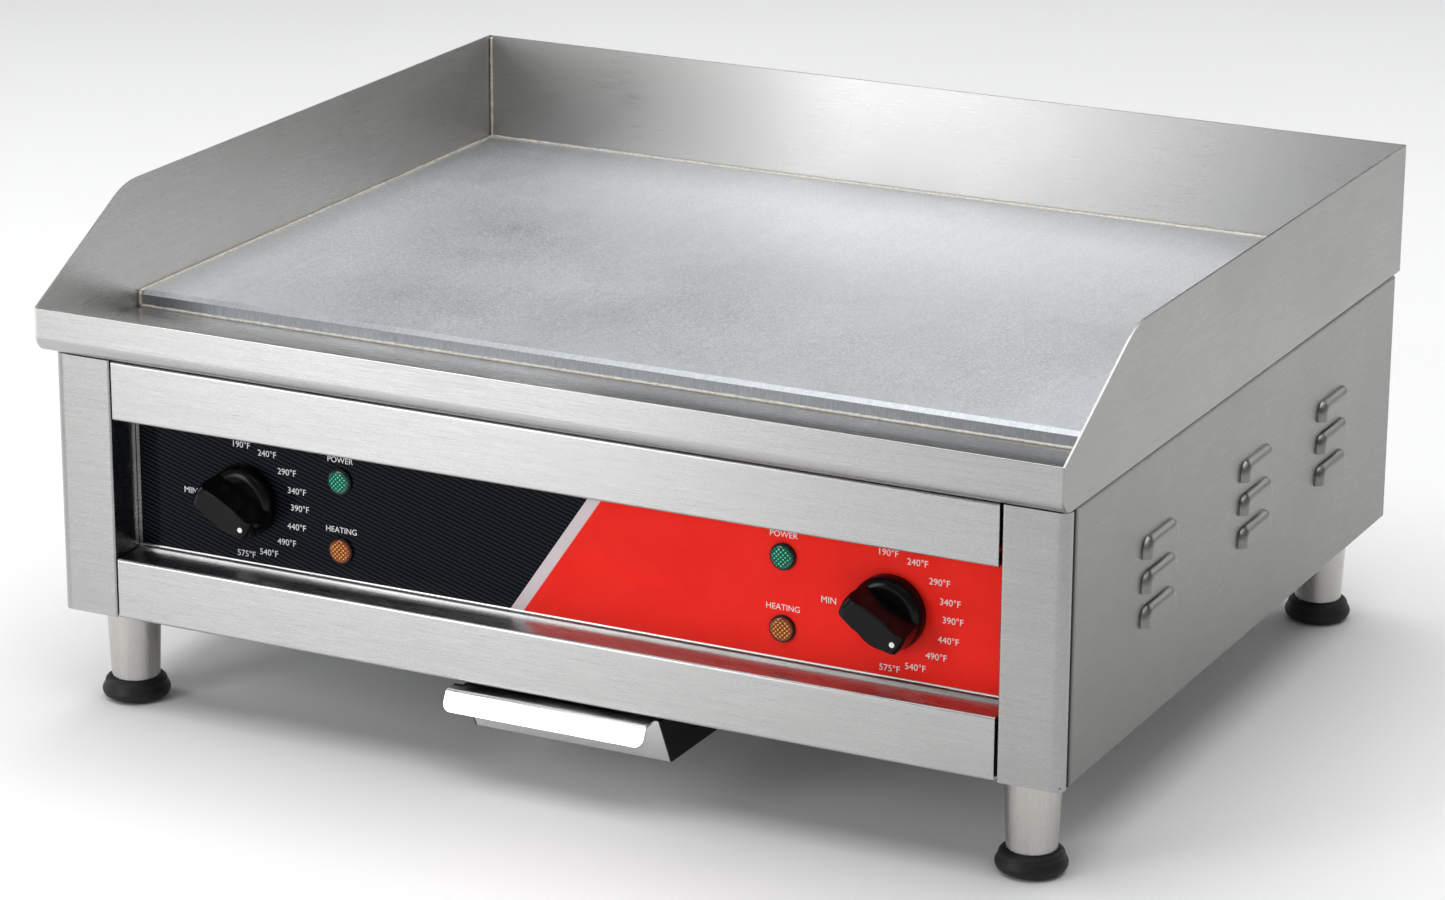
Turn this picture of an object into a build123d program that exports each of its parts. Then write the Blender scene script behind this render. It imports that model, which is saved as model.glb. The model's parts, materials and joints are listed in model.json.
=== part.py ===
from build123d import *
import math
import os

# Countertop electric griddle with two heat zones, in millimetres.
# The sub-parts are drawn in a bench frame: X to the right, Y back from the front lip, Z up from
# the surface that the feet stand on. export_node moves them to the middle of the whole depth.

# ---------------------------------------------------------------- driving dimensions
PAN_WIDTH = 610.0
PAN_DEPTH = 508.0
SPLASH_TOP = 285.0
LIP_TOP = 235.0
PAN_BOTTOM = 209.3
PAN_SHEET = 1.2
CABINET_WIDTH = 605.4
CABINET_FRONT = 13.0
CABINET_BOTTOM = 57.1
CABINET_TOP = 206.4
SHEET = 1.2
GLAND_REACH = 16.0

# ---------------------------------------------------------------- pan and plate
LIP_BEND = 9.0
SPLASH_KNEE_Y = 91.0
SPLASH_KNEE_RADIUS = 50.0
SPLASH_TOE_RADIUS = 10.0
PLATE_FRONT = 100.0
PLATE_TOP = 219.3
PLATE_BOTTOM = PAN_BOTTOM + PAN_SHEET
PLATE_GAP = 0.6
PLATE_BEVEL_RISE = 1.5
PLATE_BEVEL_RUN = 5.0
TROUGH_REAR = PLATE_FRONT + 14.0
DRAIN_X = 13.0
DRAIN_Y = 54.0
DRAIN_RADIUS = 10.0
DRAIN_WALL = 1.2
DRAIN_END = 56.0
GASKET_WIDTH = 10.0
GASKET_INSET = 5.0

# ---------------------------------------------------------------- cabinet
HALF_CABINET = CABINET_WIDTH / 2
POST_INNER = 266.5
POST_DEPTH = 58.0
POST_RETURN = 20.4
POST_CORNER = 5.4
SEAM = 2.4
RAIL_HALF = 265.2
RAIL_BEND = 1.6
UPPER_RAIL_BOTTOM = 172.4
LOWER_RAIL_TOP = 91.9
PANEL_FRONT = 37.0
FLANGE = 14.0
LOUVRE_LENGTH = 45.0
LOUVRE_HEIGHT = 12.0
LOUVRE_BULGE = 5.0
LOUVRE_SHOULDER = 8.0
LOUVRE_PITCH = 19.0
LOUVRE_TOP = 163.0
LOUVRE_CENTRES = (138.0, 281.0, 404.0)
VENT_LENGTH = 46.0
VENT_WIDTH = 5.0
VENT_PITCH = 14.0
VENT_BOTTOM = 128.0
VENT_XS = (-150.0, 0.0, 150.0)
VENT_ROWS = 4
REAR_SCREW_XS = (-280.0, -100.0, 100.0, 280.0)
REAR_SCREW_ZS = (66.0, 196.0)
BASE_SCREW_XS = (-255.0, 255.0)
BASE_SCREW_YS = (120.0, 250.0, 380.0)
GLAND_X = 215.0
GLAND_Z = 92.0
GLAND_RADIUS = 8.0
EARTH_X = 262.0
EARTH_RADIUS = 2.5

# ---------------------------------------------------------------- controls
DIAL_X = 195.5
DIAL_Z = 130.3
KNOB_RADIUS = 20.5
KNOB_GAP = 0.7
KNOB_HEIGHT = 27.0
KNOB_SKIRT = 3.4
KNOB_DOME = 8.6
KNOB_CROWN = 6.0
KNOB_ANGLE = -30.0
SHAFT_RADIUS = 3.0
SHAFT_FIT = 0.05
KNOB_SOCKET = 15.5
LAMP_X = 134.0
POWER_LAMP_Z = 150.4
HEATING_LAMP_Z = 110.6
LAMP_BEZEL_RADIUS = 7.4
LENS_RADIUS = 6.5
FILM = 0.5
FILM_HALF = 263.8
FILM_BOTTOM = 94.6
FILM_TOP = 176.0
PANEL_HALF = 269.0
PANEL_TOP = 180.0

# ---------------------------------------------------------------- legs and tray
LEG_X = 275.3
FRONT_LEG_Y = 42.4
REAR_LEG_Y = 475.0
LEG_TOP_RADIUS = 15.5
LEG_FOOT_RADIUS = 13.6
LEG_WALL = 1.2
FOOT_HEIGHT = 14.0
FOOT_RADIUS = 19.2
STUD_RADIUS = 4.0
STUD_TOP = 82.0
TRAY_CENTRE = 13.0
TRAY_HALF = 59.8
TRAY_SHEET = 1.0
TRAY_TOP = 54.6
TRAY_BOTTOM = 27.0
TRAY_FRONT_TOP = 15.0
TRAY_FRONT_BOTTOM = 29.0
TRAY_REAR = 216.0
TRAY_FLANGE = 8.0
HANDLE_CENTRE = 9.0
HANDLE_HALF = 60.5
HANDLE_EDGE_Y = 6.2
HANDLE_TIP_Y = 0.6
HANDLE_TIP_Z = 43.2

# ---------------------------------------------------------------- heaters
RUN_PITCH = 44.0
RUN_COUNT = 6
FIRST_RUN_X = 40.0
RUN_FRONT = 135.0
RUN_REAR = 480.0
ELEMENT_RADIUS = 4.0
ELEMENT_BEND = 19.0
CLAMP_YS = (170.0, 310.0, 450.0)
STUD_XS = (106.0, 194.0)
CLAMP_STUD_RADIUS = 3.0
BLANKET_TOP = 196.0
BLANKET_BOTTOM = 180.0
SHIELD_SHEET = 0.8
SHIELD_HALF = 290.0
TERMINAL_X = 215.0
TERMINAL_Y = 452.0
POLE_COUNT = 5
POLE_PITCH = 12.0
TERMINAL_SCREW = 33.5

OVERALL_DEPTH = PAN_DEPTH + GLAND_REACH
FLOOR_LOW = CABINET_BOTTOM + SHEET
FLOOR_HIGH = FLOOR_LOW + SHEET
SIDES = {"left": -1, "right": 1}


def block(x, y, z):
    """A box from three (low, high) pairs."""
    size = [high - low for low, high in (x, y, z)]
    return Pos(x[0], y[0], z[0]) * Box(*size, align=(Align.MIN, Align.MIN, Align.MIN))


def rod(radius, start, end):
    """A round bar between two points."""
    a = Vector(*start)
    b = Vector(*end)
    plane = Plane(origin=a, z_dir=b - a)
    return extrude(plane * Circle(radius), amount=(b - a).length)


def ring(radius, bore, start, end):
    """A tube between two points."""
    return rod(radius, start, end) - rod(bore, start, end)


def folded(points, bend, thickness):
    """The section of a folded sheet: its middle line is points, with each corner rounded."""
    return trace(FilletPolyline(*points, radius=bend), line_width=thickness)


def along_x(section, low, high):
    """A section in (Y, Z) drawn out along X."""
    return extrude(Plane.YZ.offset(low) * section, amount=high - low)


def along_y(section, low, high):
    """A section in (X, Z) drawn out along Y."""
    return extrude(Plane.XZ.offset(-high) * section, amount=high - low)


def along_z(section, low, high):
    """A section in (X, Y) drawn out along Z."""
    return extrude(Plane.XY.offset(low) * section, amount=high - low)


def mirrored(shape, side):
    """The shape as drawn on the right, or its mirror image on the left."""
    return shape if side > 0 else mirror(shape, about=Plane.YZ)


def hexagon(across_flats, low, high):
    """A hexagonal bar along Z."""
    return extrude(Plane.XY.offset(low) * RegularPolygon(across_flats / math.sqrt(3), 6), amount=high - low)


def tube_path(points, bend, radius):
    """A round wire or tube along straight runs with rounded corners."""
    path = FilletPolyline(*points, radius=bend)
    start = Plane(origin=path @ 0, z_dir=path % 0)
    return sweep(start * Circle(radius), path=path)


def pan_head(radius, height):
    """A low domed screw head on the XY plane."""
    head = extrude(Circle(radius), amount=height)
    return fillet(head.edges().sort_by(Axis.Z)[-1], height * 0.6)


# ---------------------------------------------------------------- pan

def front_trough():
    half = PAN_SHEET / 2
    points = [(half, LIP_TOP), (half, PAN_BOTTOM + half), (TROUGH_REAR, PAN_BOTTOM + half)]
    inner = PAN_WIDTH / 2 - PAN_SHEET
    trough = along_x(folded(points, LIP_BEND - half, PAN_SHEET), -inner, inner)
    lip_edges = trough.edges().filter_by(Axis.X).sort_by(Axis.Z)[-2:]
    trough = fillet(lip_edges, PAN_SHEET * 0.4)
    return trough - rod(DRAIN_RADIUS, (DRAIN_X, DRAIN_Y, PAN_BOTTOM - 5), (DRAIN_X, DRAIN_Y, PAN_BOTTOM + 5))


def side_splash(side):
    outline = Polyline(
        (0, PAN_BOTTOM),
        (0, LIP_TOP),
        (SPLASH_KNEE_Y, SPLASH_TOP),
        (PAN_DEPTH, SPLASH_TOP),
        (PAN_DEPTH, PAN_BOTTOM),
        close=True,
    )
    face = make_face(outline)
    corners = face.vertices()
    knee = corners.sort_by_distance((SPLASH_KNEE_Y, SPLASH_TOP, 0))[0]
    face = fillet(knee, SPLASH_KNEE_RADIUS)
    toe = face.vertices().sort_by_distance((0, PAN_BOTTOM, 0))[0]
    face = fillet(toe, SPLASH_TOE_RADIUS)
    sheet = along_x(face, PAN_WIDTH / 2 - PAN_SHEET, PAN_WIDTH / 2)
    return mirrored(sheet, side)


def rear_splash():
    inner = PAN_WIDTH / 2 - PAN_SHEET
    return block((-inner, inner), (PAN_DEPTH - PAN_SHEET, PAN_DEPTH), (PAN_BOTTOM, SPLASH_TOP))


def clamp_positions():
    """The places of the clamp studs, both zones."""
    return [(side * x, y) for side in SIDES.values() for x in STUD_XS for y in CLAMP_YS]


def griddle_plate():
    half = PAN_WIDTH / 2 - PAN_SHEET - PLATE_GAP
    rear = PAN_DEPTH - PAN_SHEET - PLATE_GAP
    plate = block((-half, half), (PLATE_FRONT, rear), (PLATE_BOTTOM, PLATE_TOP))
    top_face = plate.faces().sort_by(Axis.Z)[-1]
    front_edge = top_face.edges().filter_by(Axis.X).sort_by(Axis.Y)[0]
    plate = chamfer(front_edge, PLATE_BEVEL_RUN, PLATE_BEVEL_RISE, reference=top_face)
    for x, y in clamp_positions():
        plate += rod(CLAMP_STUD_RADIUS, (x, y, BLANKET_TOP + 0.5), (x, y, PLATE_BOTTOM + 1))
    return plate


def drain_tube():
    top = PAN_BOTTOM
    outer = DRAIN_RADIUS + DRAIN_WALL
    tube = ring(outer, DRAIN_RADIUS, (DRAIN_X, DRAIN_Y, DRAIN_END), (DRAIN_X, DRAIN_Y, top))
    flange = ring(outer + 6, DRAIN_RADIUS, (DRAIN_X, DRAIN_Y, top - DRAIN_WALL), (DRAIN_X, DRAIN_Y, top))
    return tube + flange


def seat_gasket():
    half = HALF_CABINET - GASKET_INSET
    front = CABINET_FRONT + GASKET_INSET
    rear = PAN_DEPTH - GASKET_INSET
    outer = block((-half, half), (front, rear), (CABINET_TOP, PAN_BOTTOM))
    inner_half = half - GASKET_WIDTH
    inner_span = (front + GASKET_WIDTH, rear - GASKET_WIDTH)
    return outer - block((-inner_half, inner_half), inner_span, (CABINET_TOP - 1, PAN_BOTTOM + 1))


# ---------------------------------------------------------------- cabinet

def front_post(side):
    half = SHEET / 2
    points = [
        (HALF_CABINET - FLANGE, POST_RETURN - half),
        (HALF_CABINET - half, POST_RETURN - half),
        (HALF_CABINET - half, CABINET_FRONT + half),
        (POST_INNER + half, CABINET_FRONT + half),
        (POST_INNER + half, POST_DEPTH),
        (POST_INNER + FLANGE, POST_DEPTH),
    ]
    section = folded(points, [0.7, POST_CORNER, 1.0, 1.0], SHEET)
    post = along_z(section, CABINET_BOTTOM, CABINET_TOP)
    inside = (POST_INNER - 1, HALF_CABINET - SHEET - 0.1)
    post -= block(inside, (CABINET_FRONT + SHEET + 0.1, POST_DEPTH + 2), (0, FLOOR_HIGH + 0.2))
    return mirrored(post, side)


def upper_front_rail():
    half = SHEET / 2
    points = [
        (CABINET_FRONT + FLANGE + 8, CABINET_TOP - half),
        (CABINET_FRONT + half, CABINET_TOP - half),
        (CABINET_FRONT + half, UPPER_RAIL_BOTTOM + half),
        (PANEL_FRONT - 2, UPPER_RAIL_BOTTOM + half),
    ]
    return along_x(folded(points, RAIL_BEND - half, SHEET), -RAIL_HALF, RAIL_HALF)


def lower_front_rail():
    half = SHEET / 2
    points = [
        (CABINET_FRONT + FLANGE, CABINET_BOTTOM + half),
        (CABINET_FRONT + half, CABINET_BOTTOM + half),
        (CABINET_FRONT + half, LOWER_RAIL_TOP - half),
        (PANEL_FRONT + 4, LOWER_RAIL_TOP - half),
    ]
    return along_x(folded(points, RAIL_BEND - half, SHEET), -RAIL_HALF, RAIL_HALF)


def louvre_form(shrink):
    """A pressed hood as a solid: rounded shoulders, crown and ends, square at the mouth below."""
    bulge = LOUVRE_BULGE - shrink
    high = LOUVRE_HEIGHT - shrink
    outline = Pos(0, high / 2) * Rectangle(LOUVRE_LENGTH - 2 * shrink, high)
    outline = fillet(outline.vertices().group_by(Axis.Y)[-1], LOUVRE_SHOULDER - shrink)
    form = extrude(Plane.YZ * outline, amount=bulge)
    outer_face = form.faces().sort_by(Axis.X)[-1]
    rounded = outer_face.edges().sort_by(Axis.Z)[1:]
    return fillet(rounded, bulge - 0.2)


def side_panel(side):
    half = SHEET / 2
    outer = HALF_CABINET
    front = POST_RETURN + SEAM
    rear = PAN_DEPTH - SHEET
    points = [
        (outer - FLANGE, CABINET_TOP - half),
        (outer - half, CABINET_TOP - half),
        (outer - half, CABINET_BOTTOM + half),
        (outer - FLANGE, CABINET_BOTTOM + half),
    ]
    skin = along_y(folded(points, 1.0, SHEET), front + 4, rear)
    fold = [(outer - 10, front + half), (outer - half, front + half), (outer - half, front + 4)]
    skin += along_z(folded(fold, 2.6, SHEET), CABINET_BOTTOM, CABINET_TOP)
    skin -= block((outer - 12, outer - SHEET - 0.1), (front - 1, front + 5), (FLOOR_LOW, FLOOR_HIGH + 0.2))
    places = [
        Pos(outer - SHEET, y, LOUVRE_TOP - LOUVRE_HEIGHT - row * LOUVRE_PITCH)
        for y in LOUVRE_CENTRES
        for row in range(3)
    ]
    for place in places:
        skin += place * louvre_form(0)
    for place in places:
        skin -= place * Pos(-0.1, 0, -0.1) * louvre_form(SHEET)
    return mirrored(skin, side)


def rear_panel():
    half = SHEET / 2
    width = HALF_CABINET - SHEET - 0.8
    low = FLOOR_LOW + half + 0.1
    high = CABINET_TOP - SHEET - half - 0.1
    points = [(PAN_DEPTH - FLANGE, high), (PAN_DEPTH - half, high), (PAN_DEPTH - half, low)]
    points += [(PAN_DEPTH - FLANGE, low)]
    panel = along_x(folded(points, 1.0, SHEET), -width, width)
    for x in VENT_XS:
        for row in range(VENT_ROWS):
            z = VENT_BOTTOM + row * VENT_PITCH
            slot = SlotOverall(VENT_LENGTH, VENT_WIDTH)
            panel -= Pos(x, PAN_DEPTH, z) * extrude(Plane.XZ * slot, amount=5, both=True)
    panel -= rod(GLAND_RADIUS + 0.2, (GLAND_X, PAN_DEPTH - 5, GLAND_Z), (GLAND_X, PAN_DEPTH + 5, GLAND_Z))
    panel -= rod(EARTH_RADIUS + 0.2, (EARTH_X, PAN_DEPTH - 5, GLAND_Z), (EARTH_X, PAN_DEPTH + 5, GLAND_Z))
    return panel


def base_plate():
    low = FLOOR_LOW
    half = HALF_CABINET - SHEET - 0.6
    span = (CABINET_FRONT + SHEET + 0.4, PAN_DEPTH - FLANGE - 1)
    plate = block((-half, half), span, (low, FLOOR_HIGH))
    for x, y in leg_positions():
        plate -= rod(STUD_RADIUS + 0.5, (x, y, low - 5), (x, y, low + 5))
    plate -= rod(DRAIN_RADIUS + DRAIN_WALL + 0.3, (DRAIN_X, DRAIN_Y, low - 5), (DRAIN_X, DRAIN_Y, low + 5))
    for x in (-190, -120, 120, 190):
        for row in range(5):
            slot = SlotOverall(VENT_LENGTH, VENT_WIDTH)
            plate -= Pos(x, 260 + row * 22, low) * extrude(slot, amount=5, both=True)
    return plate


def leg_positions():
    return [(side * LEG_X, y) for y in (FRONT_LEG_Y, REAR_LEG_Y) for side in SIDES.values()]


# ---------------------------------------------------------------- controls

def control_panel():
    half = SHEET / 2
    middle = PANEL_FRONT + half
    points = [(PANEL_FRONT - 3, LOWER_RAIL_TOP + half), (middle, LOWER_RAIL_TOP + half), (middle, PANEL_TOP)]
    panel = along_x(folded(points, 1.8, SHEET), -PANEL_HALF, PANEL_HALF)
    post_wall = block((POST_INNER - 0.3, PANEL_HALF + 1), (PANEL_FRONT - 5, PANEL_FRONT + 5), (0, 300))
    panel -= post_wall
    panel -= mirror(post_wall, about=Plane.YZ)
    return cut_control_holes(panel, 0)


def cut_control_holes(sheet, extra):
    """Holes for the two shafts and the four lamps."""
    front = PANEL_FRONT - 5
    rear = PANEL_FRONT + 5
    for side in SIDES.values():
        x = side * DIAL_X
        sheet -= rod(5.2 + extra, (x, front, DIAL_Z), (x, rear, DIAL_Z))
        for z in (POWER_LAMP_Z, HEATING_LAMP_Z):
            x = side * LAMP_X
            sheet -= rod(5.6 + extra, (x, front, z), (x, rear, z))
    return sheet


def control_film():
    film = block((-FILM_HALF, FILM_HALF), (PANEL_FRONT - FILM, PANEL_FRONT), (FILM_BOTTOM, FILM_TOP))
    return cut_control_holes(film, 0.4)


def lamp_body(x, z):
    front = PANEL_FRONT - FILM
    bezel = ring(LAMP_BEZEL_RADIUS, LENS_RADIUS + 0.05, (x, front - 1.6, z), (x, front, z))
    bezel = fillet(bezel.edges().group_by(Axis.Y)[0], 0.3)
    collar = ring(5.5, 4.4, (x, front - 0.6, z), (x, front + 10, z))
    collar += ring(LENS_RADIUS + 0.4, 4.4, (x, front - 0.6, z), (x, front, z))
    housing = rod(6.5, (x, front + 3, z), (x, front + 26, z)) - rod(4.4, (x, front + 2, z), (x, front + 10, z))
    terminals = block((x - 4.5, x - 3.7), (front + 26, front + 34), (z - 2.4, z + 2.4))
    terminals += block((x + 3.7, x + 4.5), (front + 26, front + 34), (z - 2.4, z + 2.4))
    return bezel + collar + housing + terminals


def lamp_lens(x, z):
    front = PANEL_FRONT - FILM
    disc = rod(LENS_RADIUS, (x, front - 3.4, z), (x, front - 0.6, z))
    return fillet(disc.edges().group_by(Axis.Y)[0], 2.2)


def thermostat(side):
    x = side * DIAL_X
    back = PANEL_FRONT + SHEET
    body = block((x - 14.5, x + 14.5), (back + 4, back + 30), (DIAL_Z - 17, DIAL_Z + 17))
    body = fillet(body.edges().filter_by(Axis.Y), 3)
    body += block((x - 24, x + 24), (back, back + 4), (DIAL_Z - 8, DIAL_Z + 8))
    body += rod(5.0, (x, PANEL_FRONT - 0.2, DIAL_Z), (x, back + 4, DIAL_Z))
    for dx in (-12, 0, 12):
        body += block((x + dx - 0.5, x + dx + 0.5), (back + 29, back + 40), (DIAL_Z - 13, DIAL_Z - 7))
    body -= rod(SHAFT_RADIUS + SHAFT_FIT, (x, PANEL_FRONT - 1, DIAL_Z), (x, back + 22, DIAL_Z))
    for dx in (-18, 18):
        body -= rod(1.7, (x + dx, back - 1, DIAL_Z), (x + dx, back + 4, DIAL_Z))
    return body


def thermostat_shaft(side):
    x = side * DIAL_X
    tip = PANEL_FRONT - 16
    end = PANEL_FRONT + SHEET + 20
    shaft = rod(SHAFT_RADIUS, (x, tip, DIAL_Z), (x, end, DIAL_Z))
    return shaft


def bar_plan(end_half, middle_half):
    """The plan of the knob's finger bar, narrower at its ends, as long as the knob is wide."""
    points = [(-KNOB_RADIUS, end_half), (-7, middle_half), (7, middle_half), (KNOB_RADIUS, end_half)]
    points += [(x, -y) for x, y in reversed(points)]
    plan = make_face(Polyline(*points, close=True))
    return fillet(plan.vertices(), 1.2)


def knob(side):
    """Drawn pointing along +X with its face up, then stood on the panel and turned."""
    skirt = extrude(Circle(KNOB_RADIUS), amount=KNOB_DOME)
    skirt = fillet(skirt.edges().sort_by(Axis.Z)[-1], KNOB_DOME - KNOB_SKIRT)
    high = KNOB_HEIGHT - KNOB_GAP
    grip = loft([Pos(0, 0, 2) * bar_plan(8.2, 10.8), Pos(0, 0, high) * bar_plan(4.8, 7.0)])
    grip = fillet(grip.faces().sort_by(Axis.Z)[-1].edges(), 0.9)
    barrel = extrude(Circle(KNOB_RADIUS - 1), amount=high)
    grip &= fillet(barrel.edges().sort_by(Axis.Z)[-1], KNOB_CROWN)
    body = skirt + grip
    body -= extrude(Circle(SHAFT_RADIUS + SHAFT_FIT), amount=KNOB_SOCKET)
    body -= extrude(Circle(KNOB_RADIUS - 2.5) - Circle(6), amount=2.5)
    turned = Rotation(0, -KNOB_ANGLE, 0) * (Rotation(90, 0, 0) * body)
    return Pos(side * DIAL_X, PANEL_FRONT - FILM - KNOB_GAP, DIAL_Z) * turned


def sensor(side):
    """A thermostat's bulb under the plate and the capillary that leads to it."""
    x = side * (FIRST_RUN_X + 2.5 * RUN_PITCH)
    z = PLATE_BOTTOM - 3.4
    bulb = rod(3.0, (x, 150, z), (x, 240, z))
    back = PANEL_FRONT + SHEET + 30
    points = [(x, 151, z), (x, 112, z), (x, 112, 150), (x, back + 18, 150), (x, back + 18, DIAL_Z + 6)]
    points += [(side * DIAL_X, back + 18, DIAL_Z + 6), (side * DIAL_X, back, DIAL_Z + 6)]
    return bulb + tube_path(points, 5, 0.8)


# ---------------------------------------------------------------- heaters

def heating_element(side):
    """A tubular heater: runs front to back, joined by bends, with both ends turned down."""
    z = PLATE_BOTTOM - ELEMENT_RADIUS - 0.2
    xs = [side * (FIRST_RUN_X + index * RUN_PITCH) for index in range(RUN_COUNT)]
    tail = RUN_FRONT - 12
    points = [(xs[0], tail, z - 30), (xs[0], tail, z)]
    for index in range(RUN_COUNT - 1):
        y = RUN_REAR if index % 2 == 0 else RUN_FRONT
        points += [(xs[index], y, z), (xs[index + 1], y, z)]
    points += [(xs[-1], tail, z), (xs[-1], tail, z - 30)]
    radii = [10.0] + [ELEMENT_BEND] * (len(points) - 4) + [10.0]
    return tube_path(points, radii, ELEMENT_RADIUS)


def element_clamps():
    top = PLATE_BOTTOM - 2 * ELEMENT_RADIUS - 0.4
    bars = []
    for side in SIDES.values():
        for y in CLAMP_YS:
            low, high = sorted((side * 32, side * 272))
            bar = block((low, high), (y - 11, y + 11), (top - 2, top))
            for x in STUD_XS:
                bar -= rod(CLAMP_STUD_RADIUS + 0.3, (side * x, y, top - 5), (side * x, y, top + 5))
            bars.append(bar)
    return Compound(children=bars)


def clamp_nuts():
    top = PLATE_BOTTOM - 2 * ELEMENT_RADIUS - 2.4
    nuts = []
    for x, y in clamp_positions():
        nut = Pos(x, y, 0) * hexagon(10, top - 3.6, top)
        nuts.append(nut - rod(CLAMP_STUD_RADIUS + 0.06, (x, y, top - 5), (x, y, top + 1)))
    return Compound(children=nuts)


def insulation_blanket():
    return block((-284, 284), (140, 492), (BLANKET_BOTTOM, BLANKET_TOP))


def heat_shield():
    half = SHIELD_SHEET / 2
    z = BLANKET_BOTTOM - half
    top = CABINET_TOP - 4
    points = [(-SHIELD_HALF - 10, top), (-SHIELD_HALF, top), (-SHIELD_HALF, z)]
    points += [(-x, height) for x, height in reversed(points)]
    return along_y(folded(points, 2.0, SHIELD_SHEET), 132, 500)


def pole_x(pole):
    return TERMINAL_X + (pole - (POLE_COUNT - 1) / 2) * POLE_PITCH


def terminal_block():
    """Five moulded poles with a screw well over each wire entry."""
    low = FLOOR_HIGH
    body = block((TERMINAL_X - 30, TERMINAL_X + 30), (TERMINAL_Y - 12, TERMINAL_Y + 12), (low, low + 18))
    body += block((TERMINAL_X - 37, TERMINAL_X + 37), (TERMINAL_Y - 6, TERMINAL_Y + 6), (low, low + 4))
    for pole in range(POLE_COUNT):
        x = pole_x(pole)
        for y in (TERMINAL_Y - 6, TERMINAL_Y + 6):
            body -= rod(2.6, (x, y, low + 10), (x, y, low + 20))
        body -= rod(2.2, (x, TERMINAL_Y - 20, low + 7), (x, TERMINAL_Y + 20, low + 7))
    return body


# ---------------------------------------------------------------- wiring

def wire(points, radius=1.3):
    return tube_path(points, 6, radius)


def zone_wiring():
    """Two supply wires to each thermostat, and a lead from each lamp into the loom."""
    floor = FLOOR_HIGH + 3
    spade = PANEL_FRONT + SHEET + 40
    lamp_back = PANEL_FRONT - FILM + 34
    entry = TERMINAL_Y - 12.5
    wires = []
    for name, side in SIDES.items():
        first_pole = 1 if name == "left" else 3
        for index, dx in enumerate((-12, 12)):
            start = pole_x(first_pole + index)
            drop = side * DIAL_X + dx
            lane = 290 + side * 8 + index * 6
            points = [(start, entry, floor + 4), (start, lane, floor + 4), (drop, lane, floor + 4)]
            points += [(drop, spade + 12, floor + 4), (drop, spade + 12, DIAL_Z - 10)]
            points += [(drop, spade + 0.1, DIAL_Z - 10)]
            wires.append(wire(points))
        tab = side * LAMP_X + 4.1
        for z in (POWER_LAMP_Z, HEATING_LAMP_Z):
            points = [(tab, lamp_back + 0.1, z), (tab, lamp_back + 14, z)]
            points += [(tab, lamp_back + 14, 76), (tab, 190 + z / 5, 76)]
            wires.append(wire(points, 0.9))
    return Compound(children=wires)


def cable_gland():
    """The cord's inlet: a screwed gland with a hexagon and a domed cap, bored for a cord."""
    rear = PAN_DEPTH
    body = rod(GLAND_RADIUS, (GLAND_X, rear - 13, GLAND_Z), (GLAND_X, rear + 1, GLAND_Z))
    flats = Plane(origin=(GLAND_X, rear + 5, GLAND_Z), z_dir=(0, -1, 0)) * RegularPolygon(12.5, 6)
    body += extrude(flats, amount=5)
    cap = rod(10, (GLAND_X, rear + 5, GLAND_Z), (GLAND_X, rear + GLAND_REACH, GLAND_Z))
    cap = fillet(cap.edges().group_by(Axis.Y)[-1], 4)
    body += cap
    return body - rod(4.6, (GLAND_X, rear - 20, GLAND_Z), (GLAND_X, rear + 30, GLAND_Z))


def gland_nut():
    face = PAN_DEPTH - SHEET
    flats = Plane(origin=(GLAND_X, face, GLAND_Z), z_dir=(0, -1, 0)) * RegularPolygon(12.5, 6)
    nut = extrude(flats, amount=5)
    return nut - rod(GLAND_RADIUS, (GLAND_X, face - 10, GLAND_Z), (GLAND_X, face + 5, GLAND_Z))


def earth_stud():
    """A brass screw with two nuts and washers for the bonding wire."""
    stud = rod(EARTH_RADIUS, (EARTH_X, PAN_DEPTH - 14, GLAND_Z), (EARTH_X, PAN_DEPTH + 10, GLAND_Z))
    outer = Plane(origin=(EARTH_X, PAN_DEPTH + 5, GLAND_Z), z_dir=(0, -1, 0)) * RegularPolygon(4.6, 6)
    inner = Plane(origin=(EARTH_X, PAN_DEPTH - SHEET, GLAND_Z), z_dir=(0, -1, 0)) * RegularPolygon(4.6, 6)
    washer = rod(5.5, (EARTH_X, PAN_DEPTH, GLAND_Z), (EARTH_X, PAN_DEPTH + 1, GLAND_Z))
    return stud + extrude(outer, amount=4) + washer + extrude(inner, amount=4)


# ---------------------------------------------------------------- under the cabinet

def leg(x, y):
    """A tapered tube closed at the top, with its levelling stud welded on."""
    top = CABINET_BOTTOM - 0.1
    profile = make_face(Polyline(
        (0, top), (LEG_TOP_RADIUS, top), (LEG_FOOT_RADIUS, FOOT_HEIGHT - 2),
        (LEG_FOOT_RADIUS - LEG_WALL, FOOT_HEIGHT - 2), (LEG_TOP_RADIUS - LEG_WALL, top - 3), (0, top - 3),
        close=True,
    ))
    tube = revolve(Plane.XZ * profile, Axis.Z)
    stud = rod(STUD_RADIUS, (0, 0, top - 1), (0, 0, STUD_TOP))
    return Pos(x, y, 0) * (tube + stud)


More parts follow.
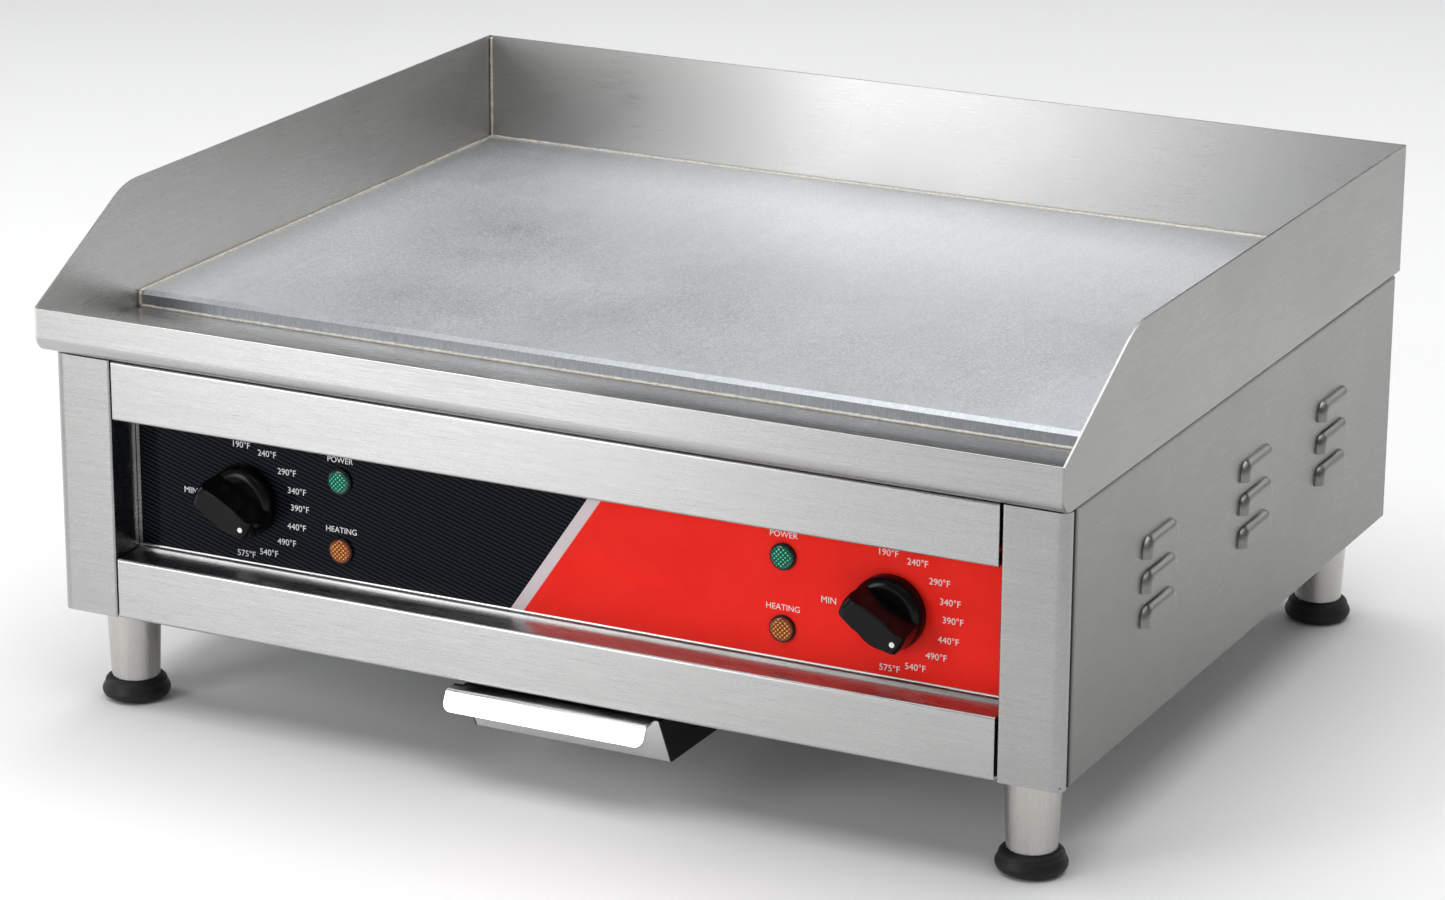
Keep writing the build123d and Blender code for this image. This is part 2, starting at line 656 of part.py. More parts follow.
def foot(x, y):
    """A rubber foot with a bulged rim, pushed up into the leg."""
    plug = LEG_FOOT_RADIUS - LEG_WALL - 0.02
    edge = LEG_FOOT_RADIUS
    outline = [
        Line((0, 0), (FOOT_RADIUS - 5, 0)),
        Spline((FOOT_RADIUS - 5, 0), (FOOT_RADIUS - 0.6, 2.6), (FOOT_RADIUS, 5.6), (FOOT_RADIUS - 1.6, 8.8),
               (edge + 1.8, FOOT_HEIGHT - 1.6), tangents=((1, 0.25), (-0.8, 0.6))),
        Line((edge + 1.8, FOOT_HEIGHT - 1.6), (edge + 0.3, FOOT_HEIGHT - 1)),
        Line((edge + 0.3, FOOT_HEIGHT - 1), (edge + 0.3, FOOT_HEIGHT - 2.1)),
        Line((edge + 0.3, FOOT_HEIGHT - 2.1), (plug, FOOT_HEIGHT - 2.1)),
        Line((plug, FOOT_HEIGHT - 2.1), (plug - 0.2, FOOT_HEIGHT + 8)),
        Line((plug - 0.2, FOOT_HEIGHT + 8), (0, FOOT_HEIGHT + 8)),
        Line((0, FOOT_HEIGHT + 8), (0, 0)),
    ]
    return Pos(x, y, 0) * revolve(Plane.XZ * make_face(outline), Axis.Z)


def leg_nuts():
    low = FLOOR_HIGH
    nuts = []
    for x, y in leg_positions():
        nut = Pos(x, y, 0) * Rotation(0, 0, 30) * hexagon(13, low, low + 8)
        nuts.append(nut - rod(STUD_RADIUS + 0.06, (x, y, low - 5), (x, y, low + 20)))
    return Compound(children=nuts)


def drip_tray():
    """An open folded tray with side flanges that slide in the guides and a turned-down handle."""
    low_x = TRAY_CENTRE - TRAY_HALF
    high_x = TRAY_CENTRE + TRAY_HALF
    t = TRAY_SHEET
    outer = make_face(Polyline(
        (TRAY_FRONT_TOP, TRAY_TOP), (TRAY_FRONT_BOTTOM, TRAY_BOTTOM), (TRAY_REAR, TRAY_BOTTOM),
        (TRAY_REAR, TRAY_TOP), close=True,
    ))
    inner = make_face(Polyline(
        (TRAY_FRONT_TOP + t, TRAY_TOP + 5), (TRAY_FRONT_TOP + t, TRAY_TOP), (TRAY_FRONT_BOTTOM + t, TRAY_BOTTOM + t),
        (TRAY_REAR - t, TRAY_BOTTOM + t), (TRAY_REAR - t, TRAY_TOP + 5), close=True,
    ))
    tray = along_x(outer, low_x, high_x) - along_x(inner, low_x + t, high_x - t)
    for edge_x, out in ((low_x, -1), (high_x, 1)):
        span = sorted((edge_x, edge_x + out * TRAY_FLANGE))
        tray += block(span, (TRAY_FRONT_TOP + 8, TRAY_REAR), (TRAY_TOP - t, TRAY_TOP))
    half = t / 2
    points = [
        (TRAY_FRONT_TOP + half, TRAY_TOP - half),
        (HANDLE_EDGE_Y, TRAY_TOP - half),
        (HANDLE_TIP_Y + half, HANDLE_TIP_Z + half),
    ]
    handle = along_x(folded(points, 1.4, t), HANDLE_CENTRE - HANDLE_HALF, HANDLE_CENTRE + HANDLE_HALF)
    corners = handle.edges().filter_by(Axis.X, reverse=True).sort_by(Axis.Z)
    short = [edge for edge in corners[:8] if edge.length < 1.5 * t]
    handle = fillet(short[:2], 5)
    return tray + handle


def tray_guide(side):
    """A folded rail that hangs from the base plate and carries the tray's flange."""
    half = SHEET / 2
    wall = TRAY_HALF + TRAY_FLANGE + 1.4
    shelf = TRAY_TOP - TRAY_SHEET - 0.5 - half
    top = CABINET_BOTTOM + SHEET - half
    points = [(wall + 12, top), (wall, top), (wall, shelf), (TRAY_HALF + 1.6, shelf)]
    rail = along_y(folded(points, 1.0, SHEET), CABINET_FRONT + FLANGE + 1, TRAY_REAR)
    return Pos(TRAY_CENTRE, 0, 0) * mirrored(rail, side)


# ---------------------------------------------------------------- fasteners

def rear_panel_screws():
    screws = []
    for x in REAR_SCREW_XS:
        for z in REAR_SCREW_ZS:
            screws.append(Pos(x, PAN_DEPTH, z) * (Rotation(-90, 0, 0) * pan_head(3.6, 2.2)))
    return Compound(children=screws)


def base_screws():
    screws = []
    for x in BASE_SCREW_XS:
        for y in BASE_SCREW_YS:
            screws.append(Pos(x, y, CABINET_BOTTOM + SHEET) * (Rotation(180, 0, 0) * pan_head(3.6, 2.0)))
    return Compound(children=screws)


def machine_screws():
    """Two screws hold each thermostat's bracket, and two the terminal block."""
    screws = []
    for side in SIDES.values():
        for dx in (-18, 18):
            x = side * DIAL_X + dx
            back = PANEL_FRONT + SHEET
            screws.append(rod(1.65, (x, back, DIAL_Z), (x, back + 4, DIAL_Z))
                          + rod(3.2, (x, back + 4, DIAL_Z), (x, back + 6, DIAL_Z)))
    low = FLOOR_HIGH + 4
    for x in (TERMINAL_X - TERMINAL_SCREW, TERMINAL_X + TERMINAL_SCREW):
        screws.append(Pos(x, TERMINAL_Y, low) * pan_head(2.6, 2.0))
    return Compound(children=screws)


# ---------------------------------------------------------------- export

def build_nodes():
    nodes = {
        "front_trough": front_trough(),
        "rear_splash_guard": rear_splash(),
        "griddle_plate": griddle_plate(),
        "drain_tube": drain_tube(),
        "seat_gasket": seat_gasket(),
        "upper_front_rail": upper_front_rail(),
        "lower_front_rail": lower_front_rail(),
        "rear_panel": rear_panel(),
        "base_plate": base_plate(),
        "rear_panel_screws": rear_panel_screws(),
        "base_screws": base_screws(),
        "control_panel": control_panel(),
        "control_film": control_film(),
        "machine_screws": machine_screws(),
        "element_clamps": element_clamps(),
        "clamp_nuts": clamp_nuts(),
        "insulation_blanket": insulation_blanket(),
        "heat_shield": heat_shield(),
        "terminal_block": terminal_block(),
        "zone_wiring": zone_wiring(),
        "earth_stud": earth_stud(),
        "cable_gland": cable_gland(),
        "gland_nut": gland_nut(),
        "leg_nuts": leg_nuts(),
        "drip_tray": drip_tray(),
    }
    for name, side in SIDES.items():
        nodes[name + "_splash_guard"] = side_splash(side)
        nodes[name + "_front_post"] = front_post(side)
        nodes[name + "_side_panel"] = side_panel(side)
        nodes[name + "_thermostat"] = thermostat(side)
        nodes[name + "_thermostat_shaft"] = thermostat_shaft(side)
        nodes[name + "_knob"] = knob(side)
        nodes[name + "_sensor"] = sensor(side)
        nodes[name + "_heating_element"] = heating_element(side)
        nodes[name + "_tray_guide"] = tray_guide(side)
        for use, z in (("power", POWER_LAMP_Z), ("heating", HEATING_LAMP_Z)):
            nodes[name + "_" + use + "_lamp"] = lamp_body(side * LAMP_X, z)
            nodes[name + "_" + use + "_lens"] = lamp_lens(side * LAMP_X, z)
        for end, y in (("front", FRONT_LEG_Y), ("rear", REAR_LEG_Y)):
            nodes[end + "_" + name + "_leg"] = leg(side * LEG_X, y)
            nodes[end + "_" + name + "_foot"] = foot(side * LEG_X, y)
    return nodes


def export_node(name, shape):
    """Centre the whole depth on Y = 0 and write the node."""
    moved = Pos(0, -OVERALL_DEPTH / 2, 0) * shape
    moved.label = name
    export_step(moved, os.path.join("parts", name + ".step"))


os.makedirs("parts", exist_ok=True)
for node_name, node_shape in build_nodes().items():
    export_node(node_name, node_shape)
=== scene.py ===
import json
import math
import random

import bmesh
import bpy
from mathutils import Matrix, Vector


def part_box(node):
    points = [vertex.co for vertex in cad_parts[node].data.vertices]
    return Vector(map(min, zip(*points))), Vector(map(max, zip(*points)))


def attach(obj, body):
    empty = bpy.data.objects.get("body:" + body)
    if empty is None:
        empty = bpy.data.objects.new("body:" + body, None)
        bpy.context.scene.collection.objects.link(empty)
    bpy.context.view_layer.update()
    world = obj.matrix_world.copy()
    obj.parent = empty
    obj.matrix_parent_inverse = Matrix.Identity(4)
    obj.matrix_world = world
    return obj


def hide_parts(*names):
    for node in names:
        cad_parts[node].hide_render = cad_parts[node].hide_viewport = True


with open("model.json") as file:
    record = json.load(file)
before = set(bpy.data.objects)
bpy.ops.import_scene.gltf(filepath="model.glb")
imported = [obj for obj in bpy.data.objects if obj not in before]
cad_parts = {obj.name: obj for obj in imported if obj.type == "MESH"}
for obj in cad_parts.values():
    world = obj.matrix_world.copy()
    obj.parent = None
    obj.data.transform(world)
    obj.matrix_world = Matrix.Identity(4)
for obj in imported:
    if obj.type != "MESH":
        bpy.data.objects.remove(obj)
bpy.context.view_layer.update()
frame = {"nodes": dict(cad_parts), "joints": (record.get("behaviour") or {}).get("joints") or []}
NODES = frame["nodes"]
MM = 0.001
SIDES = ("left", "right")
LENS_PITCH = 2.6 * MM
random.seed(7)

# ---------------------------------------------------------------- places read from the frame
PLATE_LOW, PLATE_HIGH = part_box("griddle_plate")
FILM_LOW, FILM_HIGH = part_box("control_film")
SPLASH_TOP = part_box("rear_splash_guard")[1].z
PAN_SHEET = 1.2 * MM
PLATE_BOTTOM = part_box("front_trough")[0].z + PAN_SHEET
FILM_Y = FILM_LOW.y
DIALS = {j["child"].split("_")[0]: Vector(j["pos_m"]) for j in frame["joints"] if "dial" in j["name"]}


# ---------------------------------------------------------------- node helpers

class Surface:
    """A new material with short calls for its nodes."""

    def __init__(self, name, **constants):
        self.material = bpy.data.materials.new(name)
        self.material.use_nodes = True
        self.tree = self.material.node_tree
        self.shader = self.tree.nodes["Principled BSDF"]
        for socket, value in constants.items():
            self.shader.inputs[socket.replace("_", " ")].default_value = value
        self.coords = self.add("ShaderNodeTexCoord").outputs["Object"]

    def add(self, kind, **settings):
        node = self.tree.nodes.new(kind)
        for key, value in settings.items():
            setattr(node, key, value)
        return node

    def link(self, source, target):
        self.tree.links.new(source, target)

    def noise(self, scale, detail=4.0, stretch=(1, 1, 1), roughness=0.55):
        """Noise from 0 to 1, its features drawn out where stretch is small."""
        mapping = self.add("ShaderNodeMapping")
        mapping.inputs["Scale"].default_value = stretch
        self.link(self.coords, mapping.inputs["Vector"])
        texture = self.add("ShaderNodeTexNoise")
        texture.inputs["Scale"].default_value = scale
        texture.inputs["Detail"].default_value = detail
        texture.inputs["Roughness"].default_value = roughness
        self.link(mapping.outputs["Vector"], texture.inputs["Vector"])
        return texture.outputs["Fac"]

    def spread(self, value, low, high, start=0.3, end=0.7):
        """Maps value from start..end to low..high."""
        node = self.add("ShaderNodeMapRange")
        node.inputs["From Min"].default_value = start
        node.inputs["From Max"].default_value = end
        node.inputs["To Min"].default_value = low
        node.inputs["To Max"].default_value = high
        self.link(value, node.inputs["Value"])
        return node.outputs["Result"]

    def math(self, operation, a, b=None, c=None):
        node = self.add("ShaderNodeMath", operation=operation)
        for socket, value in zip(node.inputs, (a, b, c)):
            if value is None:
                continue
            if isinstance(value, (int, float)):
                socket.default_value = value
            else:
                self.link(value, socket)
        return node.outputs["Value"]

    def blend(self, factor, first, second):
        """A colour between two, each a colour or a socket."""
        node = self.add("ShaderNodeMix", data_type="RGBA")
        if isinstance(factor, (int, float)):
            node.inputs["Factor"].default_value = factor
        else:
            self.link(factor, node.inputs["Factor"])
        for name, value in (("A", first), ("B", second)):
            socket = [s for s in node.inputs if s.name == name and s.type == "RGBA"][0]
            if isinstance(value, tuple):
                socket.default_value = (*value, 1.0)
            else:
                self.link(value, socket)
        return [s for s in node.outputs if s.type == "RGBA"][0]

    def colour(self, socket):
        self.link(socket, self.shader.inputs["Base Color"])

    def current_colour(self):
        """The socket that feeds the colour so far, to build on."""
        return self.shader.inputs["Base Color"].links[0].from_socket

    def rough(self, socket):
        self.link(socket, self.shader.inputs["Roughness"])

    def bump(self, height, distance, strength=1.0):
        """Adds a bump on top of those already there."""
        node = self.add("ShaderNodeBump")
        node.inputs["Strength"].default_value = strength
        node.inputs["Distance"].default_value = distance
        self.link(height, node.inputs["Height"])
        normal = self.shader.inputs["Normal"]
        if normal.is_linked:
            self.link(normal.links[0].from_socket, node.inputs["Normal"])
        self.link(node.outputs["Normal"], normal)

    def place(self, axis):
        """The coordinate along X, Y or Z in the row frame."""
        split = self.add("ShaderNodeSeparateXYZ")
        self.link(self.coords, split.inputs["Vector"])
        return split.outputs[axis]


# ---------------------------------------------------------------- metals

def brushed(name, colour, roughness, grain="X", depth=1.0, contrast=0.05, spread=0.8):
    """Stainless sheet with a fine grain and streaks along one axis, and faint smudges."""
    surface = Surface(name, Metallic=1.0, Anisotropic=spread, Anisotropic_Rotation=0.25)
    around = {"X": "Z", "Y": "Z", "Z": "X"}[grain]
    tangent = surface.add("ShaderNodeTangent", direction_type="RADIAL", axis=around)
    surface.link(tangent.outputs["Tangent"], surface.shader.inputs["Tangent"])
    along = {"X": (0.025, 1, 1), "Y": (1, 0.025, 1), "Z": (1, 1, 0.025)}[grain]
    fine = surface.noise(1900, 2, along, 0.7)
    streak = surface.noise(620, 4, along, 0.65)
    smudge = surface.noise(9, 5, (1, 1, 1), 0.6)
    light = tuple(min(1.0, channel * (1 + contrast)) for channel in colour)
    dark = tuple(channel * (1 - contrast) for channel in colour)
    shade = surface.blend(surface.spread(streak, 0, 1), dark, light)
    cloud = tuple(channel * 0.90 for channel in colour)
    surface.colour(surface.blend(surface.spread(smudge, 0, 0.55, 0.45, 0.75), shade, cloud))
    surface.rough(surface.math("ADD", surface.spread(fine, roughness - 0.05, roughness + 0.06),
                               surface.spread(smudge, -0.03, 0.05)))
    surface.bump(fine, 0.00002 * depth, 0.4)
    surface.bump(streak, 0.00002 * depth, 0.25)
    return surface


def graded_steel(name, near, far, axis, start, end, roughness, grain, depth=0.2):
    """Brushed sheet with painted light and shade: its tone goes from near to far along one axis, chosen to match
    the photo.
    """
    surface = brushed(name, near, roughness, grain, depth, 0.03)
    place = surface.spread(surface.place(axis), 0, 1, start, end)
    # Painted light and shade: the tone runs from near to far along the axis.
    surface.colour(surface.blend(0.75, surface.current_colour(), surface.blend(place, near, far)))
    return surface


def seamed_side_steel():
    """Graded steel for the side panels, painted darker towards the bottom, with painted shade for the dark seam
    beside the front post, where the gap's shadow falls.
    """
    # Painted shade: the panels run from 0.21 low down to 0.30 higher up.
    surface = graded_steel("side_steel", (0.21, 0.206, 0.194), (0.30, 0.296, 0.282), "Z",
                           0.06, 0.2, 0.30, "Y")
    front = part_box("right_side_panel")[0].y
    # Painted shade: the front edge beside the post is darkened as the shadow in the seam.
    seam = surface.spread(surface.place("Y"), 1, 0, front + 0.8 * MM, front + 1.8 * MM)
    surface.colour(surface.blend(seam, surface.current_colour(), (0.03, 0.028, 0.025)))
    return surface


def tray_steel():
    """Steel toned very bright for the handle and front as a painted highlight, with the tray's side walls near
    black.
    """
    # Painted highlight: the tone of 0.86, far above the other steel sheets, makes the handle and front read bright.
    surface = brushed("tray_steel", (0.86, 0.86, 0.86), 0.16, "X", 0.4, 0.02)
    low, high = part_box("drip_tray")
    middle = (low.x + high.x) / 2
    reach = surface.math("ABSOLUTE", surface.math("SUBTRACT", surface.place("X"), middle))
    back = surface.math("GREATER_THAN", surface.place("Y"), low.y + 12 * MM)
    # The side walls, from 12 mm behind the front, are set near black.
    black_side_walls = surface.math("MULTIPLY", surface.spread(reach, 0, 1, 0.0586, 0.0592), back)
    surface.colour(surface.blend(black_side_walls, surface.current_colour(), (0.025, 0.024, 0.023)))
    return surface


def plate_steel():
    """Matte blue-grey plate with a fine fleck, faint stains, scraper marks and a ground front edge."""
    surface = Surface("plate_surface", Metallic=1.0)
    fleck = surface.noise(900, 2, (1, 1, 1), 0.8)
    cloud = surface.noise(7, 6, (1, 1, 1), 0.65)
    marks = surface.noise(160, 3, (1, 0.03, 1), 0.6)
    base = surface.blend(surface.spread(fleck, 0, 1, 0.38, 0.66), (0.62, 0.64, 0.67), (0.82, 0.84, 0.87))
    worn = surface.blend(surface.spread(cloud, 0, 0.5, 0.42, 0.72), base, (0.64, 0.655, 0.675))
    face = surface.blend(surface.spread(marks, 0, 0.25, 0.5, 0.75), worn, (0.80, 0.81, 0.83))
    cuts = surface.noise(1500, 3, (1, 0.12, 0.12), 0.7)
    ground = surface.blend(surface.spread(cuts, 0, 1, 0.35, 0.65), (0.42, 0.44, 0.47), (0.56, 0.58, 0.61))
    edge = surface.spread(surface.place("Y"), 1, 0, PLATE_LOW.y + 4.9 * MM, PLATE_LOW.y + 5.3 * MM)
    surface.colour(surface.blend(edge, face, ground))
    surface.rough(surface.math("ADD", surface.spread(fleck, 0.36, 0.50), surface.spread(cloud, -0.05, 0.07)))
    surface.bump(fleck, 0.00006, 0.5)
    surface.bump(marks, 0.00002, 0.4)
    return surface


def plated(name, colour, roughness, fleck_scale=260):
    """Zinc or galvanised steel with a soft spangle."""
    surface = Surface(name, Metallic=1.0)
    spangle = surface.noise(fleck_scale, 3)
    dust = surface.noise(22, 4)
    dark = tuple(channel * 0.82 for channel in colour)
    surface.colour(surface.blend(surface.spread(spangle, 0, 1), dark, colour))
    surface.rough(surface.math("ADD", surface.spread(spangle, roughness - 0.06, roughness + 0.08),
                               surface.spread(dust, -0.04, 0.06)))
    surface.bump(spangle, 0.00004, 0.4)
    return surface


def weld_metal():
    """Pale cleaned weld with ripples."""
    surface = Surface("weld_metal", Metallic=0.55)
    ripple = surface.noise(420, 3)
    surface.colour(surface.blend(surface.spread(ripple, 0, 1), (0.56, 0.53, 0.47), (0.80, 0.77, 0.70)))
    surface.rough(surface.spread(ripple, 0.38, 0.58))
    surface.bump(ripple, 0.0002, 0.6)
    return surface


# ---------------------------------------------------------------- plastics, rubber, glass, fibre

def moulded(name, colour, roughness, shine=0.5, texture=0.00003, variation=0.25):
    """Moulded plastic or rubber with a fine skin, handling marks and dust."""
    surface = Surface(name, Specular_IOR_Level=shine)
    skin = surface.noise(700, 3)
    wear = surface.noise(45, 5)
    light = tuple(channel * (1 + variation) + 0.002 for channel in colour)
    surface.colour(surface.blend(surface.spread(wear, 0, 1), colour, light))
    surface.rough(surface.math("ADD", surface.spread(skin, roughness - 0.03, roughness + 0.04),
                               surface.spread(wear, -0.02, 0.05)))
    surface.bump(skin, texture, 0.4)
    return surface


def lens_glass(name, deep, bright, low, high):
    """Dyed plastic: small bright facets painted in as glints, with a faint painted glow so they show, in a dark
    body, darker still at the rim.
    """
    surface = Surface(name, Specular_IOR_Level=0.35, IOR=1.49, Coat_Weight=0.25, Coat_Roughness=0.03)
    swirl = surface.noise(380, 3)
    x, z = surface.place("X"), surface.place("Z")
    facets = None
    for operation in ("ADD", "SUBTRACT"):
        turn = surface.math("MULTIPLY", surface.math(operation, x, z), math.pi / LENS_PITCH)
        ridge = surface.math("ABSOLUTE", surface.math("SINE", turn))
        facets = ridge if facets is None else surface.math("MULTIPLY", facets, ridge)
    middle = (low + high) / 2
    across = surface.math("POWER", surface.math("SUBTRACT", x, middle.x), 2)
    reach = surface.math("SQRT", surface.math("ADD", across,
                                              surface.math("POWER", surface.math("SUBTRACT", z, middle.z), 2)))
    radius = (high.x - low.x) / 2
    inside = surface.spread(reach, 1, 0.1, radius * 0.72, radius * 0.86)
    # Painted highlight: the bright facets are glints put into the colour and the emission.
    glow = surface.math("MULTIPLY", surface.spread(facets, 0, 1, 0.50, 0.85), surface.spread(swirl, 0.6, 1))
    dye_and_glints = surface.blend(surface.math("MULTIPLY", glow, inside), deep, bright)
    surface.colour(dye_and_glints)
    surface.rough(surface.spread(swirl, 0.06, 0.14))
    # The emission of 0.35 is a painted glow that makes the facets show.
    surface.link(dye_and_glints, surface.shader.inputs["Emission Color"])
    surface.shader.inputs["Emission Strength"].default_value = 0.35
    surface.bump(swirl, 0.00003, 0.3)
    return surface


def printed_film():
    """Gloss overlay: pinstriped near-black, a slanted pale band, and red, by place along the panel."""
    surface = Surface("printed_film", Specular_IOR_Level=0.05)
    x = surface.place("X")
    z = surface.place("Z")
    middle = (FILM_LOW.z + FILM_HIGH.z) / 2
    slant = 0.68
    across = surface.math("SUBTRACT", x, surface.math("MULTIPLY", surface.math("SUBTRACT", z, middle), slant))
    stripe_turn = math.radians(-17)
    travel = surface.math("ADD", surface.math("MULTIPLY", x, -math.sin(stripe_turn)),
                          surface.math("MULTIPLY", z, math.cos(stripe_turn)))
    pitch = 2.4 * MM
    wave = surface.math("SINE", surface.math("MULTIPLY", travel, 2 * math.pi / pitch))
    pin = surface.spread(wave, 0, 1, -0.2, 0.9)
    black = surface.blend(pin, (0.0020, 0.0028, 0.005), (0.014, 0.018, 0.026))
    mottle = surface.noise(60, 4)
    red = surface.blend(surface.spread(mottle, 0, 1), (0.93, 0.022, 0.014), (0.97, 0.028, 0.018))
    past_band = surface.math("GREATER_THAN", across, 7 * MM)
    in_band = surface.math("GREATER_THAN", across, -1 * MM)
    ground = surface.blend(in_band, black, (0.70, 0.62, 0.64))
    surface.colour(surface.blend(past_band, ground, red))
    surface.rough(surface.spread(mottle, 0.10, 0.18))
    surface.bump(surface.noise(500, 2), 0.00001, 0.3)
    return surface


def ink():
    surface = Surface("white_ink")
    speck = surface.noise(1500, 2)
    surface.colour(surface.blend(surface.spread(speck, 0, 1), (0.72, 0.72, 0.74), (0.92, 0.92, 0.93)))
    surface.rough(surface.spread(speck, 0.28, 0.4))
    return surface


def fibre():
    surface = Surface("ceramic_fibre_mat", Sheen_Weight=0.3)
    tuft = surface.noise(260, 6, (1, 1, 3))
    surface.colour(surface.blend(surface.spread(tuft, 0, 1), (0.66, 0.63, 0.56), (0.86, 0.84, 0.79)))
    surface.rough(surface.spread(tuft, 0.8, 0.95))
    surface.bump(tuft, 0.0008, 0.8)
    return surface


# ---------------------------------------------------------------- giving the frame its materials

def paint(surface, *names):
    """Puts a material on CAD nodes or pieces."""
    for name in names:
        piece = NODES[name] if isinstance(name, str) else name
        piece.data.materials.clear()
        piece.data.materials.append(surface.material)


def each(*endings):
    return [name for name in NODES if name.endswith(endings)]


def finish_nodes():
    # Painted light and shade: the stainless sheets here (trough, front rails and panel, posts, side panels, rear
    # panel, splash guards) are one steel, given tones from 0.21 to 0.55 as lit and shaded copies for this view.
    front_steel = brushed("front_steel", (0.45, 0.45, 0.446), 0.27)
    post_steel = brushed("post_steel", (0.39, 0.39, 0.385), 0.25)
    outer_splash = graded_steel("splash_steel", (0.36, 0.355, 0.338), (0.33, 0.324, 0.308), "Y",
                                -0.25, 0.25, 0.30, "Y")
    rear_splash = graded_steel("rear_splash_steel", (0.50, 0.495, 0.485), (0.38, 0.376, 0.37), "X",
                               -0.1, 0.25, 0.30, "X", 0.2)
    paint(brushed("trough_steel", (0.44, 0.44, 0.436), 0.25), "front_trough")
    paint(front_steel, "upper_front_rail", "lower_front_rail", "control_panel")
    paint(post_steel, "left_front_post", "right_front_post")
    paint(seamed_side_steel(), "left_side_panel", "right_side_panel")
    paint(brushed("rear_panel_steel", (0.55, 0.545, 0.53), 0.33, "X"), "rear_panel")
    paint(outer_splash, "right_splash_guard")
    paint(brushed("left_splash_steel", (0.55, 0.54, 0.515), 0.30, "Y", 0.3, 0.03), "left_splash_guard")
    paint(rear_splash, "rear_splash_guard")
    paint(plate_steel(), "griddle_plate")
    paint(tray_steel(), "drip_tray")
    paint(brushed("drain_steel", (0.6, 0.6, 0.6), 0.25, "Z"), "drain_tube")
    paint(plated("galvanised", (0.56, 0.57, 0.58), 0.38, 120),
          "base_plate", "heat_shield", "left_tray_guide", "right_tray_guide", "element_clamps")
    paint(plated("zinc", (0.66, 0.66, 0.64), 0.30),
          "rear_panel_screws", "base_screws", "machine_screws", "clamp_nuts", "leg_nuts",
          "left_thermostat_shaft", "right_thermostat_shaft")
    paint(brushed("leg_steel", (0.52, 0.505, 0.48), 0.24, "Z", 0.3, 0.03, 0.3), *each("_leg"))
    paint(moulded("foot_rubber", (0.006, 0.006, 0.006), 0.50, 0.35, 0.00008), *each("_foot"))
    paint(moulded("gasket_rubber", (0.008, 0.008, 0.008), 0.75, 0.2), "seat_gasket")
    paint(moulded("knob_plastic", (0.002, 0.002, 0.0025), 0.17, 0.16, 0.00001), "left_knob", "right_knob")
    paint(moulded("lamp_housing", (0.004, 0.004, 0.005), 0.25, 0.25), *each("_lamp"))
    paint(moulded("phenolic", (0.05, 0.035, 0.025), 0.45), "left_thermostat", "right_thermostat",
          "terminal_block")
    paint(moulded("gland_plastic", (0.015, 0.015, 0.016), 0.42), "cable_gland", "gland_nut")
    paint(plated("heater_sheath", (0.20, 0.18, 0.17), 0.5, 180),
          "left_heating_element", "right_heating_element")
    paint(plated("sensor_copper", (0.72, 0.36, 0.20), 0.3), "left_sensor", "right_sensor")
    paint(plated("brass", (0.75, 0.56, 0.24), 0.3), "earth_stud")
    paint(moulded("glass_sleeve", (0.55, 0.50, 0.40), 0.8, 0.3, 0.0001), "zone_wiring")
    paint(fibre(), "insulation_blanket")
    paint(printed_film(), "control_film")


# ---------------------------------------------------------------- pieces

def mesh_piece(name, build, body, surface, smooth=True):
    """A mesh object from a bmesh-filling function, riding on a body."""
    mesh = bpy.data.meshes.new(name)
    bm = bmesh.new()
    build(bm)
    bmesh.ops.recalc_face_normals(bm, faces=bm.faces)
    bm.to_mesh(mesh)
    bm.free()
    if smooth:
        mesh.polygons.foreach_set("use_smooth", [True] * len(mesh.polygons))
    piece = bpy.data.objects.new(name, mesh)
    bpy.context.scene.collection.objects.link(piece)
    paint(surface, piece)
    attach(piece, body)
    return piece


def bead(bm, start, end, radius, step=2.2 * MM):
    """A rippled weld bead from start to end: rings of eight points whose size wanders."""
    run = end - start
    count = max(3, round(run.length / step))
    direction = run.normalized()
    helper = Vector((0, 0, 1)) if abs(direction.z) < 0.9 else Vector((1, 0, 0))
    first = direction.cross(helper).normalized()
    second = direction.cross(first)
    sides = 8
    previous = None
    for index in range(count + 1):
        centre = start + run * (index / count)
        size = radius * (1 + random.uniform(-0.16, 0.16))
        ring = []
        for side in range(sides):
            turn = 2 * math.pi * side / sides
            ring.append(bm.verts.new(centre + size * (first * math.cos(turn) + second * math.sin(turn))))
        if previous:
            for side in range(sides):
                after = (side + 1) % sides
                bm.faces.new((previous[side], previous[after], ring[after], ring[side]))
        else:
            bm.faces.new(ring)
        previous = ring
    bm.faces.new(reversed(previous))


def weld_beads():
    low_x = PLATE_LOW.x + 0.5 * MM
    high_x = PLATE_HIGH.x - 0.5 * MM
    front = PLATE_LOW.y
    rear = PLATE_HIGH.y - 0.3 * MM
    top = PLATE_HIGH.z
    radius = 1.25 * MM
    plate_corners = [Vector((low_x, front, top)), Vector((low_x, rear, top)),
                     Vector((high_x, rear, top)), Vector((high_x, front, top))]

    def build(bm):
        for start, end in zip(plate_corners, plate_corners[1:]):
            bead(bm, start, end, radius)
        bottom = PLATE_BOTTOM + 0.4 * MM
        bead(bm, Vector((low_x, front, bottom)), Vector((high_x, front, bottom)), radius * 0.9)
        for x in (low_x, high_x):
            bead(bm, Vector((x, front, bottom)), Vector((x, front, top)), radius * 0.9)
            edge = Vector((x, rear + 0.2 * MM, 0))
            bead(bm, edge + Vector((0, 0, top)), edge + Vector((0, 0, SPLASH_TOP - 1 * MM)), radius * 0.8)

    mesh_piece("plate_weld_beads", build, "cabinet", weld_metal())


